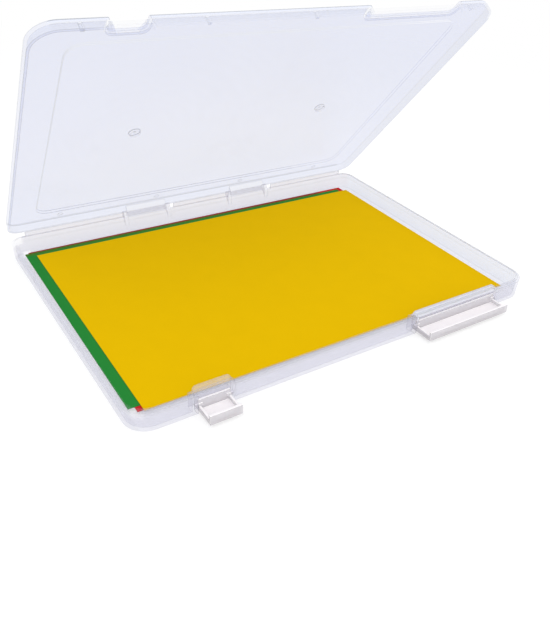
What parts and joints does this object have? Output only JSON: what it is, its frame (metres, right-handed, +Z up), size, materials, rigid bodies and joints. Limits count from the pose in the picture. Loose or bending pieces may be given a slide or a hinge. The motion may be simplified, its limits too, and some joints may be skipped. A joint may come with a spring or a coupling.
{
  "type": "flat art supply case",
  "caption": "Clear flat plastic case for paper and craft materials, with a hinged lid, flip latches along the front edge and coloured sheets in the tray.",
  "frame": {"origin": "middle of the tray's flat underside, on the surface the case stands on", "axes": "+X along the hinge from the narrow latch to the wide latch, +Y from the latches to the hinge, +Z up"},
  "size_m": [0.322, 0.2593, 0.1998],
  "materials": {
    "clear_base": "clear moulded polypropylene",
    "clear_lid": "clear moulded polypropylene",
    "milky_latch": "milky moulded polypropylene",
    "yellow_paper": "matt",
    "green_paper": "matt",
    "red_paper": "matt"
  },
  "bodies": {
    "base": {"base_tray": "clear_base", "red_sheet": "red_paper", "green_sheet": "green_paper", "yellow_sheet": "yellow_paper"},
    "lid": {"lid": "clear_lid"},
    "narrow_latch": {"narrow_latch": "milky_latch"},
    "wide_latch": {"wide_latch": "milky_latch"}
  },
  "joints": [
    {"name": "lid_hinge", "type": "hinge", "parent": "base", "child": "lid", "pos_m": [0, 0.1233, 0.01515], "axis": [-1, 0, 0], "range_deg": [-48, 132]},
    {"name": "narrow_latch_pivot", "type": "hinge", "parent": "base", "child": "narrow_latch", "pos_m": [-0.109, -0.1174, 0.0066], "axis": [-1, 0, 0], "range_deg": [0, 90]},
    {"name": "wide_latch_pivot", "type": "hinge", "parent": "base", "child": "wide_latch", "pos_m": [0.087, -0.1174, 0.0066], "axis": [-1, 0, 0], "range_deg": [0, 90]}
  ]
}
